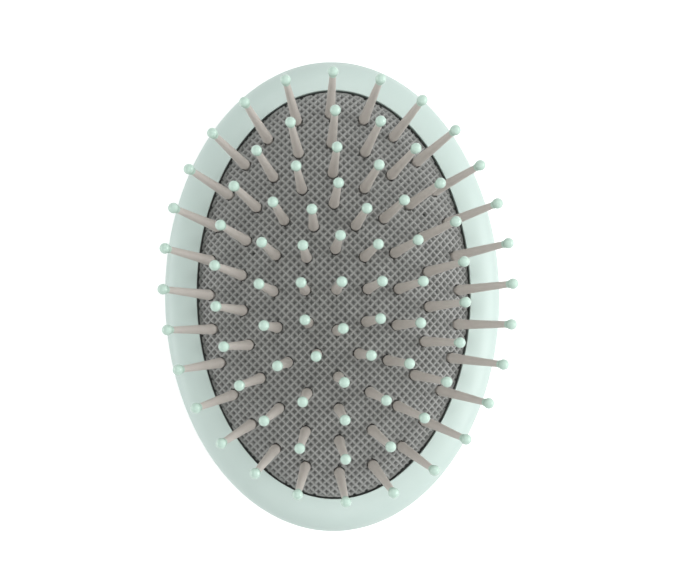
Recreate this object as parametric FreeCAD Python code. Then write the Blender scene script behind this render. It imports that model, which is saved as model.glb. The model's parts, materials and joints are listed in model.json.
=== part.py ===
"""Oval palm brush: an air cushion with fanned, ball-tipped pins in a smooth two-shell body.

All sizes are millimetres. The origin is the centre of the flat on the back that the brush
rests on. +Z points out of the pin side, +Y along the brush and +X across it.
"""
import FreeCAD
import Part
import math
import os
from FreeCAD import Vector

# Body outline and back shell
BODY_WIDTH = 76.0
BODY_LENGTH = 106.8
BACK_DEPTH = 22.0
BACK_FLAT_DEPTH = 0.7
WALL = 2.4
PARTING_GAP = 0.15

# Front frame
BAND_WIDTH = 7.1
FRAME_RISE = 4.5
ROLL_OVERSHOOT = 1.2
ROLL_STEPS = 6
LIP_THICKNESS = 3.0
LIP_ROUND = 0.15

# Snap joint between frame and back shell
TONGUE_WALL = 1.1
TONGUE_DEPTH = 2.6
TONGUE_CLEARANCE = 0.1
BEAD_HEIGHT = 0.3
BEAD_HALF_WIDTH = 0.5

# Rubber cushion
CUSHION_GAP = 0.5
CUSHION_RECESS = 0.8
CUSHION_CROWN = 9.4
CUSHION_SKIN = 1.6
FLANGE_THICKNESS = 1.5
FLANGE_CLEARANCE = 0.4
SEAT_CLEARANCE = 0.02
DOME_SPREAD_SHARE = 1.104
VENT_RADIUS = 0.3
VENT_PLACE_SHARES = ((-0.60, 0.18), (0.67, 0.37))

# Clamping ring and its screws
RING_THICKNESS = 2.0
RING_WIDTH = 8.0
RING_RIB_WIDTH = 1.6
RING_RIB_DEPTH = 2.0
SCREW_COUNT = 8
SCREW_RADIUS = 1.0
SCREW_BITE = 1.9
SCREW_HEAD_RADIUS = 1.9
SCREW_HEAD_HEIGHT = 1.4
SCREW_SLOT_WIDTH = 0.6
SCREW_SLOT_DEPTH = 0.6
SCREW_HOLE_CLEARANCE = 0.2
PILOT_CLEARANCE = 0.02
PILOT_TIP_CLEARANCE = 0.1

# Pin field
RING_TOTAL = 4
PIN_SPACING = 7.8
CENTRE_SPACING = 9.1
SIDE_MARGIN = 2.4
END_MARGIN = 5.4
FIELD_TURN_DEGREES = 1.3

# One pin, measured along its own axis from the cushion's surface
PIN_LENGTH = 18.0
PIN_HEAD_RADIUS = 1.9
PIN_HEAD_THICKNESS = 0.8
PIN_HEAD_CLEARANCE = 0.2
PIN_NECK_RADIUS = 0.95
PIN_HOLE_CLEARANCE = 0.15
FOOT_LIFT = 0.15
FOOT_RADIUS = 1.2
FOOT_ROUND = 0.5
STEM_ROOT_RADIUS = 1.08
STEM_ROOT_HEIGHT = 3.0
STEM_END_RADIUS = 0.74
BALL_RADIUS = 1.2
BALL_BORE_DEPTH = 1.4
BALL_BORE_CLEARANCE = 0.02
COLLAR_LENGTH = 0.25
COLLAR_WALL = 0.1

# How far a cutting tool runs past what it cuts
OVERRUN = 1.0

# Levels above the resting flat
PARTING_Z = BACK_DEPTH
LIP_Z = PARTING_Z + FRAME_RISE
SEAT_Z = LIP_Z - LIP_THICKNESS
FLANGE_TOP_Z = SEAT_Z - SEAT_CLEARANCE
FLANGE_BOTTOM_Z = FLANGE_TOP_Z - FLANGE_THICKNESS
RING_TOP_Z = FLANGE_BOTTOM_Z - SEAT_CLEARANCE
RING_BOTTOM_Z = RING_TOP_Z - RING_THICKNESS
CUSHION_EDGE_Z = LIP_Z - CUSHION_RECESS

# Insets of the oval walls from the body outline
CUSHION_INSET = BAND_WIDTH + CUSHION_GAP
SKIRT_INSET = CUSHION_INSET + CUSHION_SKIN
FLANGE_INSET = WALL + FLANGE_CLEARANCE
RING_INNER_INSET = FLANGE_INSET + RING_WIDTH
SCREW_INSET = (FLANGE_INSET + CUSHION_INSET) / 2

# The dome is the cap of an ellipsoid a little wider than the cushion's edge
EDGE_HALF_X = BODY_WIDTH / 2 - CUSHION_INSET
EDGE_HALF_Y = BODY_LENGTH / 2 - CUSHION_INSET
DOME_HALF_X = EDGE_HALF_X * DOME_SPREAD_SHARE
DOME_HALF_Y = EDGE_HALF_Y * DOME_SPREAD_SHARE
DOME_HALF_Z = CUSHION_CROWN / (1 - math.sqrt(1 - 1 / DOME_SPREAD_SHARE ** 2))
DOME_CENTRE_Z = CUSHION_EDGE_Z + CUSHION_CROWN - DOME_HALF_Z

QUADRANTS = ("upper_right", "lower_right", "lower_left", "upper_left")


def oval(inset, z):
    """Ellipse wire at height z, a constant inset inside the body outline."""
    end = Vector(0, BODY_LENGTH / 2 - inset, z)
    side = Vector(BODY_WIDTH / 2 - inset, 0, z)
    return Part.Wire(Part.Ellipse(end, side, Vector(0, 0, z)).toShape())


def oval_prism(inset, low, high):
    """Upright oval block between two heights."""
    return Part.Face(oval(inset, low)).extrude(Vector(0, 0, high - low))


def oval_ring(outer_inset, inner_inset, low, high):
    """Upright oval ring between two insets and two heights."""
    hole = oval_prism(inner_inset, low - OVERRUN, high + OVERRUN)
    return oval_prism(outer_inset, low, high).cut(hole)


def ellipsoid(half_x, half_y, half_z, centre_z):
    """Whole ellipsoid, its poles at the ends of the brush."""
    stretch = FreeCAD.Matrix()
    stretch.scale(half_x, half_y, half_z)
    stretch.move(Vector(0, 0, centre_z))
    return Part.makeSphere(1, Vector(), Vector(0, 1, 0)).transformGeometry(stretch)


def turned(points):
    """Solid of revolution about Z from (radius, height) points, closed in order."""
    corners = [Vector(radius, 0, height) for radius, height in points]
    face = Part.Face(Part.makePolygon(corners + corners[:1]))
    return face.revolve(Vector(), Vector(0, 0, 1), 360)


def drill(radius, low, high, place):
    """Round tool along a placement's own Z axis."""
    tool = Part.makeCylinder(radius, high - low, Vector(0, 0, low))
    tool.Placement = place
    return tool


def tongue_block(grow):
    """Outside of the frame's tongue with its snap bead, enlarged all round by grow."""
    face_inset = WALL - TONGUE_WALL - grow
    tip_z = PARTING_Z - TONGUE_DEPTH - grow
    bead_z = PARTING_Z - TONGUE_DEPTH / 2
    levels = (
        (face_inset, tip_z),
        (face_inset, bead_z - BEAD_HALF_WIDTH),
        (face_inset - BEAD_HEIGHT, bead_z),
        (face_inset, bead_z + BEAD_HALF_WIDTH),
        (face_inset, SEAT_Z),
    )
    return Part.makeLoft([oval(inset, z) for inset, z in levels], True, True)


def back_shell():
    """Palm-side dome with a resting flat, a hollow inside and a rebate for the tongue."""
    full_depth = BACK_DEPTH + BACK_FLAT_DEPTH
    half_x = BODY_WIDTH / 2
    half_y = BODY_LENGTH / 2
    outside = ellipsoid(half_x, half_y, full_depth, PARTING_Z)
    inside = ellipsoid(half_x - WALL, half_y - WALL, full_depth - WALL, PARTING_Z)
    keep = oval_prism(-OVERRUN, 0, PARTING_Z - PARTING_GAP / 2)
    shell = outside.common(keep).cut(inside)
    return shell.cut(tongue_block(TONGUE_CLEARANCE))


def frame_roll():
    """Solid with the frame's rounded outside, from the parting plane to the lip."""
    reach = BAND_WIDTH + ROLL_OVERSHOOT
    wires = []
    for step in range(ROLL_STEPS + 1):
        turn = math.pi / 2 * step / ROLL_STEPS
        inset = reach * (1 - math.cos(turn))
        wires.append(oval(inset, PARTING_Z + FRAME_RISE * math.sin(turn)))
    return Part.makeLoft(wires, True, False)


def screw_places():
    """Placements of the ring screws, evenly spaced round the flange, on the ring's underside."""
    edge = oval(SCREW_INSET, RING_BOTTOM_Z).Edges[0]
    points = edge.discretize(Number=2 * SCREW_COUNT + 1)[1::2]
    return [FreeCAD.Placement(point, FreeCAD.Rotation()) for point in points]


def screw_reach():
    """Length of a screw's shank above the ring's underside."""
    return SEAT_Z + SCREW_BITE - RING_BOTTOM_Z


def front_frame():
    """Rounded rim with a lip over the cushion, a seat for its flange and a snap tongue."""
    roll = frame_roll()
    skirt_trim = oval_prism(-OVERRUN, PARTING_Z - OVERRUN, PARTING_Z + PARTING_GAP / 2)
    rim = roll.cut(skirt_trim)
    rim = rim.cut(oval_prism(WALL, PARTING_Z - OVERRUN, SEAT_Z))
    tongue = tongue_block(0).cut(oval_prism(WALL, PARTING_Z - 2 * TONGUE_DEPTH, SEAT_Z + OVERRUN))
    frame = rim.fuse(tongue)
    frame = frame.cut(oval_prism(BAND_WIDTH, SEAT_Z - OVERRUN, LIP_Z + OVERRUN)).removeSplitter()
    pilots = [
        drill(SCREW_RADIUS + PILOT_CLEARANCE, 0, screw_reach() + PILOT_TIP_CLEARANCE, place)
        for place in screw_places()
    ]
    return rounded_lip(frame).cut(pilots)


def rounded_lip(frame):
    """Frame with a small round along the upper inner edge of its lip."""
    middle_z = (SEAT_Z + LIP_Z) / 2
    inside = BODY_WIDTH / 2 - BAND_WIDTH + LIP_ROUND
    lip = [edge for edge in frame.Edges if edge.BoundBox.ZMin > middle_z and edge.BoundBox.XMax < inside]
    return frame.makeFillet(LIP_ROUND, lip)


def cushion(places):
    """Domed rubber skin with a skirt and a clamped flange, pierced for pins, screws and air."""
    top = CUSHION_EDGE_Z + CUSHION_CROWN + OVERRUN
    outer_dome = ellipsoid(DOME_HALF_X, DOME_HALF_Y, DOME_HALF_Z, DOME_CENTRE_Z)
    inner_dome = ellipsoid(
        DOME_HALF_X - CUSHION_SKIN,
        DOME_HALF_Y - CUSHION_SKIN,
        DOME_HALF_Z - CUSHION_SKIN,
        DOME_CENTRE_Z,
    )
    body = outer_dome.common(oval_prism(CUSHION_INSET, FLANGE_BOTTOM_Z, top))
    hollow = inner_dome.common(oval_prism(SKIRT_INSET, FLANGE_BOTTOM_Z - OVERRUN, top))
    flange = oval_ring(FLANGE_INSET, SKIRT_INSET, FLANGE_BOTTOM_Z, FLANGE_TOP_Z)
    skin = body.cut(hollow).fuse(flange)
    pin_hole = PIN_NECK_RADIUS + PIN_HOLE_CLEARANCE
    holes = [drill(pin_hole, -2 * CUSHION_SKIN, CUSHION_SKIN, place) for place in places]
    for share_x, share_y in VENT_PLACE_SHARES:
        vent = dome_place(share_x * EDGE_HALF_X, share_y * EDGE_HALF_Y)
        holes.append(drill(VENT_RADIUS, -2 * CUSHION_SKIN, CUSHION_SKIN, vent))
    for place in screw_places():
        holes.append(drill(SCREW_RADIUS + SCREW_HOLE_CLEARANCE, 0, screw_reach(), place))
    return skin.cut(holes)


def cushion_ring():
    """Flat oval clamp ring, stiffened by a rib along its inner edge."""
    ring = oval_ring(FLANGE_INSET, RING_INNER_INSET, RING_BOTTOM_Z, RING_TOP_Z)
    rib_low = RING_BOTTOM_Z - RING_RIB_DEPTH
    rib_inset = RING_INNER_INSET - RING_RIB_WIDTH
    ring = ring.fuse(oval_ring(rib_inset, RING_INNER_INSET, rib_low, RING_TOP_Z))
    holes = [
        drill(SCREW_RADIUS + SCREW_HOLE_CLEARANCE, -OVERRUN, RING_THICKNESS + OVERRUN, place)
        for place in screw_places()
    ]
    return ring.cut(holes).removeSplitter()


def ring_screw():
    """Small slotted screw, head down, its seat at height zero."""
    head_low = -SCREW_HEAD_HEIGHT
    screw = turned((
        (0, head_low),
        (SCREW_HEAD_RADIUS, head_low),
        (SCREW_HEAD_RADIUS, -SEAT_CLEARANCE),
        (SCREW_RADIUS, -SEAT_CLEARANCE),
        (SCREW_RADIUS, screw_reach() - SCREW_RADIUS),
        (0, screw_reach()),
    ))
    slot = Part.makeBox(
        2 * SCREW_HEAD_RADIUS + OVERRUN,
        SCREW_SLOT_WIDTH,
        SCREW_SLOT_DEPTH + OVERRUN,
        Vector(-SCREW_HEAD_RADIUS - OVERRUN / 2, -SCREW_SLOT_WIDTH / 2, head_low - OVERRUN),
    )
    return screw.cut(slot)


def dome_place(x, y):
    """Placement on the dome above (x, y), its Z axis square to the surface."""
    rise = math.sqrt(1 - (x / DOME_HALF_X) ** 2 - (y / DOME_HALF_Y) ** 2)
    point = Vector(x, y, DOME_CENTRE_Z + DOME_HALF_Z * rise)
    normal = Vector(x / DOME_HALF_X ** 2, y / DOME_HALF_Y ** 2, rise / DOME_HALF_Z)
    return FreeCAD.Placement(point, FreeCAD.Rotation(Vector(0, 0, 1), normal))


def turned_field(points):
    """Dome placements for flat pin positions, after the small turn of the whole pin field."""
    turn = FreeCAD.Rotation(Vector(0, 0, 1), FIELD_TURN_DEGREES)
    spots = [turn.multVec(point) for point in points]
    return [dome_place(spot.x, spot.y) for spot in spots]


def pin_rings():
    """Pin placements: the centre line first, then each oval ring from inside to outside."""
    outer_x = EDGE_HALF_X - SIDE_MARGIN
    outer_y = EDGE_HALF_Y - END_MARGIN
    pitch = outer_x / RING_TOTAL
    line_half = outer_y - outer_x
    side_count = int(line_half // CENTRE_SPACING)
    line = [Vector(0, step * CENTRE_SPACING, 0) for step in range(side_count, -side_count - 1, -1)]
    rings = [turned_field(line)]
    for index in range(1, RING_TOTAL + 1):
        half_x = pitch * index
        half_y = line_half + half_x
        edge = Part.Ellipse(Vector(0, half_y, 0), Vector(half_x, 0, 0), Vector()).toShape()
        count = 2 * round(edge.Length / (2 * PIN_SPACING))
        rings.append(turned_field(edge.discretize(Number=count + 1)[:count]))
    return rings


def pin_stem():
    """Tapered pin with a head under the rubber and a rounded foot on top of it."""
    head_top = -CUSHION_SKIN - PIN_HEAD_CLEARANCE
    head_low = head_top - PIN_HEAD_THICKNESS
    foot_top = FOOT_LIFT + FOOT_ROUND
    stem_end = PIN_LENGTH - BALL_RADIUS + BALL_BORE_DEPTH - BALL_BORE_CLEARANCE
    low = [
        Vector(0, 0, head_low),
        Vector(PIN_HEAD_RADIUS, 0, head_low),
        Vector(PIN_HEAD_RADIUS, 0, head_top),
        Vector(PIN_NECK_RADIUS, 0, head_top),
        Vector(PIN_NECK_RADIUS, 0, FOOT_LIFT),
    ]
    round_start = Vector(PIN_NECK_RADIUS, 0, FOOT_LIFT)
    round_end = Vector(FOOT_RADIUS, 0, foot_top)
    swell = (FOOT_RADIUS - PIN_NECK_RADIUS) * math.sin(math.pi / 4)
    lift = FOOT_ROUND * (1 - math.cos(math.pi / 4))
    round_middle = Vector(PIN_NECK_RADIUS + swell, 0, FOOT_LIFT + lift)
    high = [
        round_end,
        Vector(STEM_ROOT_RADIUS, 0, STEM_ROOT_HEIGHT),
        Vector(STEM_END_RADIUS, 0, PIN_LENGTH - BALL_RADIUS - COLLAR_LENGTH),
        Vector(STEM_END_RADIUS, 0, stem_end),
        Vector(0, 0, stem_end),
        Vector(0, 0, head_low),
    ]
    edges = Part.makePolygon(low).Edges
    edges.append(Part.Arc(round_start, round_middle, round_end).toShape())
    edges += Part.makePolygon(high).Edges
    return Part.Face(Part.Wire(edges)).revolve(Vector(), Vector(0, 0, 1), 360)


def ball_tip():
    """Ball with a short collar, moulded round the end of a stem."""
    bore = STEM_END_RADIUS + BALL_BORE_CLEARANCE
    collar = bore + COLLAR_WALL
    bottom = PIN_LENGTH - BALL_RADIUS - COLLAR_LENGTH
    bore_end = PIN_LENGTH - BALL_RADIUS + BALL_BORE_DEPTH
    meet = PIN_LENGTH - math.sqrt(BALL_RADIUS ** 2 - collar ** 2)
    outline = [
        Vector(0, 0, bore_end),
        Vector(bore, 0, bore_end),
        Vector(bore, 0, bottom),
        Vector(collar, 0, bottom),
        Vector(collar, 0, meet),
    ]
    equator = Vector(BALL_RADIUS, 0, PIN_LENGTH)
    pole = Vector(0, 0, PIN_LENGTH + BALL_RADIUS)
    edges = Part.makePolygon(outline).Edges
    edges.append(Part.Arc(outline[-1], equator, pole).toShape())
    edges.append(Part.makeLine(pole, outline[0]))
    return Part.Face(Part.Wire(edges)).revolve(Vector(), Vector(0, 0, 1), 360)


def copies(shape, places):
    """One compound with a copy of the shape at each placement."""
    made = []
    for place in places:
        piece = shape.copy()
        piece.Placement = place
        made.append(piece)
    return Part.makeCompound(made)


def pin_groups(rings):
    """Names and placements of the pin groups: the centre line, then each ring by quarters."""
    groups = {"centre": rings[0]}
    for index, ring in enumerate(rings[1:], start=1):
        for quarter, name in enumerate(QUADRANTS):
            chosen = [place for order, place in enumerate(ring) if order * 4 // len(ring) == quarter]
            groups[f"ring_{index}_{name}"] = chosen
    return groups


def build():
    """All nodes of the brush by name."""
    rings = pin_rings()
    nodes = {
        "back_shell": back_shell(),
        "front_frame": front_frame(),
        "cushion": cushion([place for ring in rings for place in ring]),
        "cushion_ring": cushion_ring(),
        "ring_screws": copies(ring_screw(), screw_places()),
    }
    stem = pin_stem()
    tip = ball_tip()
    for name, places in pin_groups(rings).items():
        nodes[f"{name}_pins"] = copies(stem, places)
        nodes[f"{name}_tips"] = copies(tip, places)
    return nodes


os.makedirs("parts", exist_ok=True)
for node, shape in build().items():
    shape.exportStep(f"parts/{node}.step")
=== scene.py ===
"""Looks of the oval palm brush: satin mint shells, knurled rubber cushion, nylon pins, glossy tips.

Lengths are metres unless a name says otherwise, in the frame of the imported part.
"""
import bpy
import json
import math
import numpy as np
from mathutils import Matrix, Vector

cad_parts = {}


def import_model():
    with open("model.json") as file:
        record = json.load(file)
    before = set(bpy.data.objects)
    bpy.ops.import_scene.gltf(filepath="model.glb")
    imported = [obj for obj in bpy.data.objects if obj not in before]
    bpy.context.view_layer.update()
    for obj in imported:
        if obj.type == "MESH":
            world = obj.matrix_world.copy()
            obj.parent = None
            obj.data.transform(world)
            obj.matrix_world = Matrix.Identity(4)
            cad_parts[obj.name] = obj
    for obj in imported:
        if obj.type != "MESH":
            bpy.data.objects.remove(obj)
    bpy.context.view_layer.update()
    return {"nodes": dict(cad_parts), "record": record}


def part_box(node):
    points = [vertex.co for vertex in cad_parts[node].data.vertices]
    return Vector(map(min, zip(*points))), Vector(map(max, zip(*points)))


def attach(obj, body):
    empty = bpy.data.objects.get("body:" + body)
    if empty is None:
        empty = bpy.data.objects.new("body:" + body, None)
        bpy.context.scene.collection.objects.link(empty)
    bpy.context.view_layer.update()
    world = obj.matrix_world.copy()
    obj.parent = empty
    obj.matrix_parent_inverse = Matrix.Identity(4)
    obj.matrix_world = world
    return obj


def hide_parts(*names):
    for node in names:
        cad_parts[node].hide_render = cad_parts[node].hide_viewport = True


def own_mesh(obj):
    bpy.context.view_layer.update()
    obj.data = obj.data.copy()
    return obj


MM = 0.001

# Camera, fitted to the outlines and pins in the photograph
PHOTO_WIDTH_PX = 690
PHOTO_PX_PER_METRE = 4435.0
CAMERA_DISTANCE = 0.700
CAMERA_SENSOR_MM = 36.0
CAMERA_PITCH = math.radians(-5.4)
CAMERA_YAW = math.radians(3.9)
CAMERA_ROLL = math.radians(0.18)
CAMERA_SHIFT_RIGHT = 2.5 * MM
CAMERA_SHIFT_UP = 0.2 * MM
CAMERA_NEAR = 0.01
CAMERA_FAR = 50.0
AIM_HEIGHT = 26.0 * MM

# Frame and cushion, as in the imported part
BAND_WIDTH = 7.1 * MM
CUSHION_GAP = 0.5 * MM
CUSHION_RECESS = 0.8 * MM
CUSHION_CROWN = 9.4 * MM
CUSHION_SKIN = 1.6 * MM
DOME_SPREAD_SHARE = 1.104
FLANGE_THICKNESS = 1.5 * MM

# Edge of the cushion: it swells into the gap beside the frame, over a wall with a chamfered top
CUSHION_SWELL = 0.05 * MM
WALL_TUCK = 0.25 * MM
WALL_CHAMFER = 1.05 * MM

# Knurl on the cushion: narrow ridges at 45 degrees with a pit like an upturned pyramid in each mesh
KNURL_PITCH = 1.33 * MM
KNURL_DEPTH = 0.55 * MM
RIDGE_SHARE = 0.085
FLANK_SHARE = 0.43
VENT_DEPTH = 1.1 * MM
VENT_PLACE_SHARES = ((-0.60, 0.18), (0.67, 0.37))

# Pin field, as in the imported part
RING_TOTAL = 4
PIN_SPACING = 7.8 * MM
CENTRE_SPACING = 9.1 * MM
SIDE_MARGIN = 2.4 * MM
END_MARGIN = 5.4 * MM
FIELD_TURN = math.radians(1.3)

# Seats of the pins in the rubber, drawn open towards the crown
SEAT_RADIUS = 1.28 * MM
SEAT_DEPTH = 1.2 * MM
SEAT_SHIFT = 0.12 * MM

# Steps of the numerical work, with the widest angle from the crown in radians
GAUSS_POINTS = 12
NEWTON_STEPS = 8
LAST_ANGLE = 1.5
OVAL_SAMPLES = 4001
TINY = 1e-9

# Steps of the meshes: how far the knurl is laid out, rings of the underside, points round the flange
ARC_REACH_SHARES = (1.25, 1.15)
UNDERSIDE_SHARES = (0.95, 0.85, 0.7, 0.5, 0.25)
OVAL_STEPS = 180
QUAD_CORNERS = 4

# Surfaces: linear colours and roughness between two ends, with noise scales in features per metre
SHELL_COLOURS = ((0.614, 0.745, 0.70), (0.654, 0.78, 0.736))
SHELL_ROUGHNESS = (0.36, 0.44)
SHELL_SCALES = (60, 220)
SHELL_GRAIN_SCALE = 9000
SHELL_GRAIN_STRENGTH = 0.12
PIN_COLOURS = ((0.59, 0.553, 0.51), (0.655, 0.618, 0.575))
PIN_ROUGHNESS = (0.40, 0.50)
PIN_SCALES = (400, 900)
PIN_GRAIN_SCALE = 7000
PIN_GRAIN_STRENGTH = 0.1
TIP_COLOURS = ((0.54, 0.74, 0.635), (0.58, 0.77, 0.675))
TIP_ROUGHNESS = (0.20, 0.30)
TIP_SCALES = (300, 1500)
TIP_COAT = 0.5
TIP_COAT_ROUGHNESS = 0.2
# Rubber from the pits' painted shade (dark end) to the ridges' own grey, placed by the ridge share
RUBBER_PIT_SHADE_COLOURS = ((0.165, 0.169, 0.163), (0.345, 0.354, 0.340))
RUBBER_PIT_SHADE_SHARES = (0.1, 1.0)
RUBBER_ROUGHNESS = (0.60, 0.46)
RUBBER_SPECULAR = 0.8
RUBBER_GRAIN_SCALE = 12000
RUBBER_GRAIN_STRENGTH = 0.15
BLOTCH_COLOURS = ((0.86, 0.86, 0.86), (1, 1, 1))
BLOTCH_COLOUR_SHARES = (0.3, 0.7)
BLOTCH_SCALE = 900
RING_COLOURS = ((0.26, 0.27, 0.26), (0.28, 0.29, 0.28))
RING_ROUGHNESS = 0.5
STEEL_COLOURS = ((0.41, 0.41, 0.42), (0.45, 0.45, 0.46))
STEEL_ROUGHNESS = 0.35
INNER_SCALE = 500
GRAIN_HEIGHT = 0.02 * MM
NOISE_DETAIL = 2.0

# Places of the colour sockets on a mix node
MIX_COLOUR_INPUTS = (6, 7)
MIX_COLOUR_OUTPUT = 2

# Surroundings
FLOOR_HALF_SIZE = 3.0
FLOOR_DROP = 0.1 * MM
FLOOR_GLOW = 0.5
FLOOR_GREY = 0.86
FLOOR_ROUGHNESS = 0.9
WORLD_LIGHT = 0.42

# Soft panels round the brush: direction and elevation in degrees, then power in watts
PANEL_DISTANCE = 0.9
PANELS = {
    "right": (0, 28, 4.3),
    "top": (90, 55, 1.5),
    "left": (180, 5, 2.3),
    "bottom": (270, 55, 1.7),
}
PANEL_SIZE = (0.7, 0.35)


class Dome:
    """Ellipsoid cap that the cushion follows, with arc-length coordinates from its crown."""

    def __init__(self):
        low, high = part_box("front_frame")
        inset = BAND_WIDTH + CUSHION_GAP
        self.edge_x = (high.x - low.x) / 2 - inset
        self.edge_y = (high.y - low.y) / 2 - inset
        self.edge_z = high.z - CUSHION_RECESS
        self.half_x = self.edge_x * DOME_SPREAD_SHARE
        self.half_y = self.edge_y * DOME_SPREAD_SHARE
        self.half_z = CUSHION_CROWN / (1 - math.sqrt(1 - 1 / DOME_SPREAD_SHARE ** 2))
        self.centre_z = self.edge_z + CUSHION_CROWN - self.half_z

    def height(self, x, y):
        """Level of the surface at a plan position."""
        inside = 1 - (x / self.half_x) ** 2 - (y / self.half_y) ** 2
        return self.centre_z + self.half_z * np.sqrt(np.maximum(inside, 0))

    def normal(self, x, y, z):
        """Direction square to the surface, outwards."""
        rise = (z - self.centre_z) / self.half_z ** 2
        found = np.stack((x / self.half_x ** 2, y / self.half_y ** 2, rise), axis=-1)
        return found / np.linalg.norm(found, axis=-1, keepdims=True)

    def edge_share(self, x, y):
        """1 on the visible skin's edge, which swells a little into the gap, and less inside it."""
        return np.hypot(x / (self.edge_x + CUSHION_SWELL), y / (self.edge_y + CUSHION_SWELL))

    def unroll(self, u, v):
        """Plan position of points given by their distance from the crown along the surface."""
        reach = np.hypot(u, v)
        safe = np.maximum(reach, TINY)
        along_x = u / safe
        along_y = v / safe
        width = 1 / np.hypot(along_x / self.half_x, along_y / self.half_y)
        nodes, weights = np.polynomial.legendre.leggauss(GAUSS_POINTS)
        angle = np.minimum(reach / width, LAST_ANGLE)
        for _ in range(NEWTON_STEPS):
            samples = angle[..., None] * (nodes + 1) / 2
            speed = np.hypot(width[..., None] * np.cos(samples), self.half_z * np.sin(samples))
            length = (speed * weights).sum(axis=-1) * angle / 2
            slope = np.hypot(width * np.cos(angle), self.half_z * np.sin(angle))
            angle = np.clip(angle - (length - reach) / slope, 0, LAST_ANGLE)
        radius = width * np.sin(angle)
        return radius * along_x, radius * along_y


def even_oval(half_x, half_y):
    """Points spaced evenly along an oval ring, clockwise from its upper end."""
    turn = np.linspace(0, 2 * math.pi, OVAL_SAMPLES)
    x = half_x * np.sin(turn)
    y = half_y * np.cos(turn)
    length = np.concatenate(([0], np.cumsum(np.hypot(np.diff(x), np.diff(y)))))
    count = 2 * round(length[-1] / (2 * PIN_SPACING))
    chosen = np.interp(np.arange(count) * length[-1] / count, length, turn)
    return np.stack((half_x * np.sin(chosen), half_y * np.cos(chosen)), axis=1)


def pin_rows(dome):
    """Plan positions of the pins: the centre line first, then each ring from the inside out."""
    outer_x = dome.edge_x - SIDE_MARGIN
    outer_y = dome.edge_y - END_MARGIN
    line_half = outer_y - outer_x
    side_count = int(line_half // CENTRE_SPACING)
    rows = [np.array([(0, step * CENTRE_SPACING) for step in range(-side_count, side_count + 1)])]
    for index in range(1, RING_TOTAL + 1):
        half_x = outer_x * index / RING_TOTAL
        rows.append(even_oval(half_x, line_half + half_x))
    cosine = math.cos(FIELD_TURN)
    sine = math.sin(FIELD_TURN)
    turn = np.array(((cosine, sine), (-sine, cosine)))
    return [row @ turn for row in rows]


def knurl_lines(reach):
    """Grid lines across the knurl: both edges of each ridge's top and both feet of its flanks."""
    last = math.ceil(reach / KNURL_PITCH)
    centres = np.arange(-last, last + 1) * KNURL_PITCH
    offsets = np.array((-FLANK_SHARE, -RIDGE_SHARE, RIDGE_SHARE, FLANK_SHARE)) * KNURL_PITCH
    lines = (centres[:, None] + offsets).ravel()
    on_ridge = np.tile((False, True, True, False), len(centres))
    return lines, on_ridge


def knurl_grid(dome):
    """Knurled skin as plan positions, ridge shares and quads, trimmed to the cushion's edge."""
    reach = math.hypot(dome.half_x, dome.half_y)
    lines, on_ridge = knurl_lines(reach)
    first, second = np.meshgrid(lines, lines, indexing="ij")
    ridge = (on_ridge[:, None] | on_ridge[None, :]).ravel()
    u = ((first + second) / math.sqrt(2)).ravel()
    v = ((first - second) / math.sqrt(2)).ravel()
    reach_x = dome.edge_x * ARC_REACH_SHARES[0]
    reach_y = dome.edge_y * ARC_REACH_SHARES[1]
    near = np.hypot(u / reach_x, v / reach_y) < 1
    x = np.full(u.shape, np.inf)
    y = np.full(u.shape, np.inf)
    x[near], y[near] = dome.unroll(u[near], v[near])
    share = np.full(u.shape, np.inf)
    share[near] = dome.edge_share(x[near], y[near])
    count = len(lines)
    index = np.arange(count * count).reshape(count, count)
    corners = (index[:-1, :-1], index[:-1, 1:], index[1:, 1:], index[1:, :-1])
    quads = np.stack([corner.ravel() for corner in corners], axis=1)
    quads = quads[(share[quads] < 1).any(axis=1)]
    used, quads = np.unique(quads, return_inverse=True)
    quads = quads.reshape(-1, QUAD_CORNERS)
    pull = np.maximum(share[used], 1)
    return x[used] / pull, y[used] / pull, ridge[used].astype(float), quads


def quad_sides(quads):
    """Pairs of vertex numbers along the sides of each quad."""
    return np.concatenate([quads[:, [k, (k + 1) % QUAD_CORNERS]] for k in range(QUAD_CORNERS)])


def seat_pins(dome, points, sink, ridge, quads):
    """Sinks a round seat into the skin at each pin, with its rim drawn to a clean circle."""
    sides = quad_sides(quads)
    for pin_x, pin_y in np.concatenate(pin_rows(dome)):
        foot = np.array((pin_x, pin_y, dome.height(pin_x, pin_y)))
        axis = dome.normal(*foot)
        outward = np.array((axis[0], axis[1], 0.0))
        outward -= outward.dot(axis) * axis
        outward /= max(np.linalg.norm(outward), TINY)
        offset = points - (foot - outward * SEAT_SHIFT)
        flat = offset - (offset @ axis)[:, None] * axis
        distance = np.linalg.norm(flat, axis=1)
        inside = distance < SEAT_RADIUS
        crossing = sides[inside[sides[:, 0]] != inside[sides[:, 1]]]
        miss = np.abs(distance[crossing] - SEAT_RADIUS)
        rim = np.unique(crossing[np.arange(len(crossing)), miss.argmin(axis=1)])
        points[rim] += flat[rim] * (SEAT_RADIUS / distance[rim] - 1)[:, None]
        points[rim, 2] = dome.height(points[rim, 0], points[rim, 1])
        sink[rim] = 0
        inside[rim] = False
        sink[inside] = SEAT_DEPTH
        # The seat takes the pits' darkest colour, a painted shade
        ridge[inside] = 0


def open_vents(dome, points, sink, ridge, quads):
    """Deepens the pit nearest to each air vent."""
    pits = quads[(ridge[quads] == 0).all(axis=1)]
    middles = points[pits].mean(axis=1)
    for share_x, share_y in VENT_PLACE_SHARES:
        off = np.hypot(middles[:, 0] - share_x * dome.edge_x, middles[:, 1] - share_y * dome.edge_y)
        sink[pits[np.argmin(off)]] = VENT_DEPTH


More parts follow.
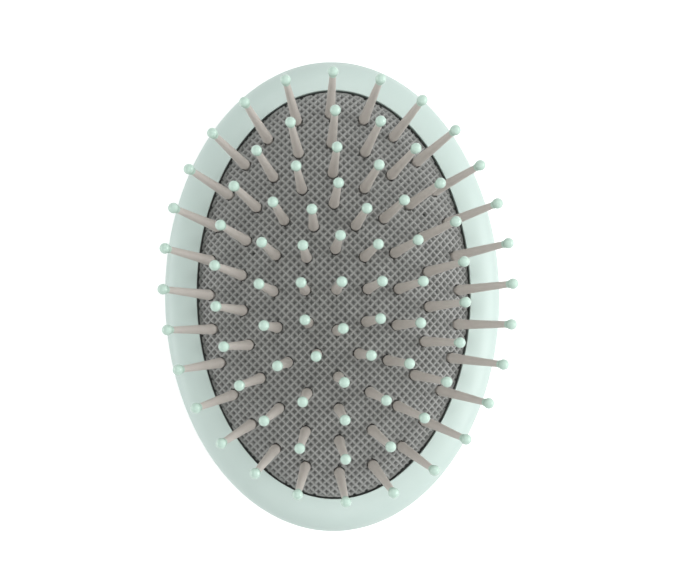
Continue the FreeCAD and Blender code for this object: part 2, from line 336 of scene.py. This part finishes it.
def split_hips(quads, sink):
    """Faces of the grid, with the corner quads of each pit cut along the hip into its bottom."""
    deep = sink[quads] > 0
    corner = deep.sum(axis=1) == 1
    faces = quads[~corner].tolist()
    start = deep[corner].argmax(axis=1)
    order = (start[:, None] + np.arange(QUAD_CORNERS)) % QUAD_CORNERS
    turned = np.take_along_axis(quads[corner], order, axis=1)
    faces += turned[:, [0, 1, 2]].tolist()
    faces += turned[:, [0, 2, 3]].tolist()
    return faces


def boundary_loop(quads):
    """Vertex numbers along the open edge of a quad grid, in order."""
    seen = {(a, b) for a, b in quad_sides(quads)}
    follow = {a: b for a, b in seen if (b, a) not in seen}
    start = next(iter(follow))
    loop = [start]
    while follow[loop[-1]] != start:
        loop.append(follow[loop[-1]])
    return loop


def close_below(dome, loop, rim, total):
    """Rings of points under the skin, from its edge inwards, and the faces that close it there."""
    points = []
    faces = []
    previous = loop
    for share in UNDERSIDE_SHARES:
        plan = rim * share
        points.append(np.column_stack((plan, dome.height(*plan.T) - CUSHION_SKIN)))
        numbers = list(range(total, total + len(loop)))
        for k in range(len(loop)):
            following = (k + 1) % len(loop)
            faces.append((previous[following], previous[k], numbers[k], numbers[following]))
        previous = numbers
        total += len(loop)
    faces.append(tuple(reversed(previous)))
    return np.concatenate(points), faces


def add_object(name, points, faces):
    """Mesh object made of points and faces."""
    mesh = bpy.data.meshes.new(name)
    mesh.from_pydata(points, [], faces)
    mesh.validate()
    made = bpy.data.objects.new(name, mesh)
    bpy.context.scene.collection.objects.link(made)
    return made


def make_cushion(dome):
    """Knurled rubber skin with its underside, closed all round."""
    x, y, ridge, quads = knurl_grid(dome)
    surface = np.stack((x, y, dome.height(x, y)), axis=1)
    sink = np.where(ridge > 0, 0.0, KNURL_DEPTH)
    seat_pins(dome, surface, sink, ridge, quads)
    open_vents(dome, surface, sink, ridge, quads)
    skin = surface - sink[:, None] * dome.normal(*surface.T)
    loop = boundary_loop(quads)
    below, closing = close_below(dome, loop, surface[loop, :2], len(skin))
    points = np.concatenate((skin, below))
    cushion = add_object("knurled_cushion", points.tolist(), split_hips(quads, sink) + closing)
    # The ridge share, kept on the skin's points, lets the rubber paint its pits and seats darker, a
    # painted shade
    lift = np.zeros(len(points), np.float32)
    lift[:len(ridge)] = ridge
    shade = cushion.data.attributes.new("ridge", "FLOAT", "POINT")
    shade.data.foreach_set("value", lift)
    return cushion


def make_flange(dome):
    """Clamped edge of the cushion: a short wall below the dome's rim with a flat flange round it."""
    low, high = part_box("cushion")
    wall_top = dome.edge_z - WALL_TUCK
    flange_top = low.z + FLANGE_THICKNESS
    reach = high.x - dome.edge_x
    profile = (
        (0, wall_top - WALL_CHAMFER), (0, flange_top), (reach, flange_top),
        (reach, low.z), (-CUSHION_SKIN, low.z), (-CUSHION_SKIN, wall_top),
    )
    turn = np.arange(OVAL_STEPS) * 2 * math.pi / OVAL_STEPS
    points = []
    for offset, level in profile:
        x = (dome.edge_x + offset) * np.cos(turn)
        y = (dome.edge_y + offset) * np.sin(turn)
        points += np.column_stack((x, y, np.full(OVAL_STEPS, level))).tolist()
    faces = []
    for ring in range(len(profile)):
        here = ring * OVAL_STEPS
        there = (ring + 1) % len(profile) * OVAL_STEPS
        for step in range(OVAL_STEPS):
            after = (step + 1) % OVAL_STEPS
            faces.append((here + step, there + step, there + after, here + after))
    return add_object("cushion_flange", points, faces)


def new_material(name):
    """New material with its node tree and its shader."""
    material = bpy.data.materials.new(name)
    material.use_nodes = True
    tree = material.node_tree
    shader = tree.nodes["Principled BSDF"]
    return material, tree, shader


def noise(tree, scale):
    """Noise texture in object space."""
    coordinates = tree.nodes.new("ShaderNodeTexCoord")
    texture = tree.nodes.new("ShaderNodeTexNoise")
    texture.inputs["Scale"].default_value = scale
    texture.inputs["Detail"].default_value = NOISE_DETAIL
    tree.links.new(coordinates.outputs["Object"], texture.inputs["Vector"])
    return texture.outputs["Fac"]


def tint(tree, factor, colours, place_shares=(0, 1)):
    """Colour ramp between two linear colours."""
    ramp = tree.nodes.new("ShaderNodeValToRGB")
    for element, colour, place in zip(ramp.color_ramp.elements, colours, place_shares):
        element.color = (*colour, 1)
        element.position = place
    tree.links.new(factor, ramp.inputs["Fac"])
    return ramp.outputs["Color"]


def vary(tree, factor, ends, socket):
    """Drives a shader value between two ends by a texture or an attribute."""
    low, high = ends
    scale = tree.nodes.new("ShaderNodeMapRange")
    scale.inputs["To Min"].default_value = low
    scale.inputs["To Max"].default_value = high
    tree.links.new(factor, scale.inputs["Value"])
    tree.links.new(scale.outputs["Result"], socket)


def grain(tree, shader, scale, strength):
    """Fine bump of the surface."""
    bump = tree.nodes.new("ShaderNodeBump")
    bump.inputs["Strength"].default_value = strength
    bump.inputs["Distance"].default_value = GRAIN_HEIGHT
    tree.links.new(noise(tree, scale), bump.inputs["Height"])
    tree.links.new(bump.outputs["Normal"], shader.inputs["Normal"])


def mottled(name, colours, roughness, scales):
    """Material whose colour and roughness wander a little, each at its own scale."""
    colour_scale, roughness_scale = scales
    material, tree, shader = new_material(name)
    tree.links.new(tint(tree, noise(tree, colour_scale), colours), shader.inputs["Base Color"])
    vary(tree, noise(tree, roughness_scale), roughness, shader.inputs["Roughness"])
    return material, tree, shader


def mint_plastic():
    """Satin moulded plastic of the two shells."""
    material, tree, shader = mottled("mint_plastic", SHELL_COLOURS, SHELL_ROUGHNESS, SHELL_SCALES)
    grain(tree, shader, SHELL_GRAIN_SCALE, SHELL_GRAIN_STRENGTH)
    return material


def pin_nylon():
    """Warm grey nylon of the pins."""
    material, tree, shader = mottled("pin_nylon", PIN_COLOURS, PIN_ROUGHNESS, PIN_SCALES)
    grain(tree, shader, PIN_GRAIN_SCALE, PIN_GRAIN_STRENGTH)
    return material


def tip_gloss():
    """Glossy mint of the ball tips."""
    material, tree, shader = mottled("tip_gloss", TIP_COLOURS, TIP_ROUGHNESS, TIP_SCALES)
    shader.inputs["Coat Weight"].default_value = TIP_COAT
    shader.inputs["Coat Roughness"].default_value = TIP_COAT_ROUGHNESS
    return material


def cushion_rubber():
    """Grey rubber with painted shade darkening the knurl's pits, smoother where the ridges stand up,
    with a fine grain.
    """
    material, tree, shader = new_material("cushion_rubber")
    attribute = tree.nodes.new("ShaderNodeAttribute")
    attribute.attribute_name = "ridge"
    ridge = attribute.outputs["Fac"]
    # Painted shade: the pits and seats are coloured darker than the ridges
    colour = tint(tree, ridge, RUBBER_PIT_SHADE_COLOURS, RUBBER_PIT_SHADE_SHARES)
    blotch = tint(tree, noise(tree, BLOTCH_SCALE), BLOTCH_COLOURS, BLOTCH_COLOUR_SHARES)
    mix = tree.nodes.new("ShaderNodeMix")
    mix.data_type = "RGBA"
    mix.blend_type = "MULTIPLY"
    mix.inputs["Factor"].default_value = 1
    for source, place in zip((colour, blotch), MIX_COLOUR_INPUTS):
        tree.links.new(source, mix.inputs[place])
    tree.links.new(mix.outputs[MIX_COLOUR_OUTPUT], shader.inputs["Base Color"])
    vary(tree, ridge, RUBBER_ROUGHNESS, shader.inputs["Roughness"])
    shader.inputs["Specular IOR Level"].default_value = RUBBER_SPECULAR
    grain(tree, shader, RUBBER_GRAIN_SCALE, RUBBER_GRAIN_STRENGTH)
    return material


def plain(name, colours, roughness, metallic):
    """Material of a piece inside the body."""
    material, tree, shader = new_material(name)
    tree.links.new(tint(tree, noise(tree, INNER_SCALE), colours), shader.inputs["Base Color"])
    shader.inputs["Roughness"].default_value = roughness
    shader.inputs["Metallic"].default_value = metallic
    return material


def dress_nodes(frame):
    """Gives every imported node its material."""
    finishes = {
        "shell_mint": mint_plastic(),
        "cushion_rubber": cushion_rubber(),
        "pin_nylon": pin_nylon(),
        "tip_mint": tip_gloss(),
        "ring_plastic": plain("ring_plastic", RING_COLOURS, RING_ROUGHNESS, metallic=0),
        "screw_steel": plain("screw_steel", STEEL_COLOURS, STEEL_ROUGHNESS, metallic=1),
    }
    for part in frame["record"]["subparts"]:
        node = frame["nodes"][part["node"]]
        node.data.materials.clear()
        node.data.materials.append(finishes[part["material_slot"]])
    return finishes


def dress_cushion(rubber):
    """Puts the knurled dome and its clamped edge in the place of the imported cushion."""
    dome = Dome()
    cushion = make_cushion(dome)
    flange = make_flange(dome)
    for piece in (cushion, flange):
        # The flange has no ridge share, so it takes the rubber's darkest colour, the pits' painted shade
        piece.data.materials.append(rubber)
        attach(piece, "housing")
        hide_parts("cushion")
    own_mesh(cushion)


def add_camera():
    """Camera at the photograph's viewing angle."""
    turn = Matrix.Rotation(CAMERA_ROLL, 3, "Z")
    turn = turn @ Matrix.Rotation(CAMERA_PITCH, 3, "X") @ Matrix.Rotation(CAMERA_YAW, 3, "Y")
    back = turn.transposed()
    aim = Vector((0, 0, AIM_HEIGHT))
    place = aim + back @ Vector((CAMERA_SHIFT_RIGHT, CAMERA_SHIFT_UP, CAMERA_DISTANCE))
    data = bpy.data.cameras.new("camera")
    data.sensor_width = CAMERA_SENSOR_MM
    data.lens = CAMERA_SENSOR_MM * CAMERA_DISTANCE * PHOTO_PX_PER_METRE / PHOTO_WIDTH_PX
    data.clip_start = CAMERA_NEAR
    data.clip_end = CAMERA_FAR
    camera = bpy.data.objects.new("camera", data)
    camera.matrix_world = Matrix.Translation(place) @ back.to_4x4()
    bpy.context.scene.collection.objects.link(camera)
    bpy.context.scene.camera = camera


def add_panels():
    """Soft panels round the brush, the strongest on the right."""
    for name, (direction, elevation, power) in PANELS.items():
        data = bpy.data.lights.new(name, "AREA")
        data.shape = "RECTANGLE"
        data.size, data.size_y = PANEL_SIZE
        data.energy = power
        lamp = bpy.data.objects.new(name, data)
        turn = math.radians(direction)
        rise = math.radians(elevation)
        level = math.cos(rise)
        out = Vector((math.cos(turn) * level, math.sin(turn) * level, math.sin(rise)))
        lamp.location = Vector((0, 0, AIM_HEIGHT)) + out * PANEL_DISTANCE
        lamp.rotation_euler = out.to_track_quat("Z", "Y").to_euler()
        bpy.context.scene.collection.objects.link(lamp)


def seen_share(tree, seen, hidden):
    """One value for what the camera, a reflection or glass sees, another for the light on the object."""
    path = tree.nodes.new("ShaderNodeLightPath")
    either = path.outputs["Is Camera Ray"]
    for kind in ("Is Glossy Ray", "Is Transmission Ray"):
        larger = tree.nodes.new("ShaderNodeMath")
        larger.operation = "MAXIMUM"
        tree.links.new(either, larger.inputs[0])
        tree.links.new(path.outputs[kind], larger.inputs[1])
        either = larger.outputs["Value"]
    scale = tree.nodes.new("ShaderNodeMapRange")
    scale.inputs["To Min"].default_value = hidden
    scale.inputs["To Max"].default_value = seen
    tree.links.new(either, scale.inputs["Value"])
    return scale.outputs["Result"]


def add_floor():
    """Pale floor that looks white to the camera and keeps a soft shadow."""
    size = FLOOR_HALF_SIZE
    corners = [(-size, -size, 0), (size, -size, 0), (size, size, 0), (-size, size, 0)]
    floor = add_object("floor", corners, [(0, 1, 2, 3)])
    floor.location.z = -FLOOR_DROP
    material, tree, shader = new_material("floor")
    shader.inputs["Base Color"].default_value = (FLOOR_GREY, FLOOR_GREY, FLOOR_GREY, 1)
    shader.inputs["Roughness"].default_value = FLOOR_ROUGHNESS
    shader.inputs["Emission Color"].default_value = (1, 1, 1, 1)
    tree.links.new(seen_share(tree, FLOOR_GLOW, 0), shader.inputs["Emission Strength"])
    floor.data.materials.append(material)


def add_world():
    """Plain white surroundings, weaker as light on the object."""
    world = bpy.data.worlds.new("studio")
    bpy.context.scene.world = world
    world.use_nodes = True
    tree = world.node_tree
    background = tree.nodes["Background"]
    background.inputs["Color"].default_value = (1, 1, 1, 1)
    tree.links.new(seen_share(tree, 1, WORLD_LIGHT), background.inputs["Strength"])


def main():
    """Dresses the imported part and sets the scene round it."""
    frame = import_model()
    bpy.context.scene.view_settings.view_transform = "Standard"
    finishes = dress_nodes(frame)
    dress_cushion(finishes["cushion_rubber"])
    add_camera()
    add_floor()
    add_world()
    add_panels()


main()
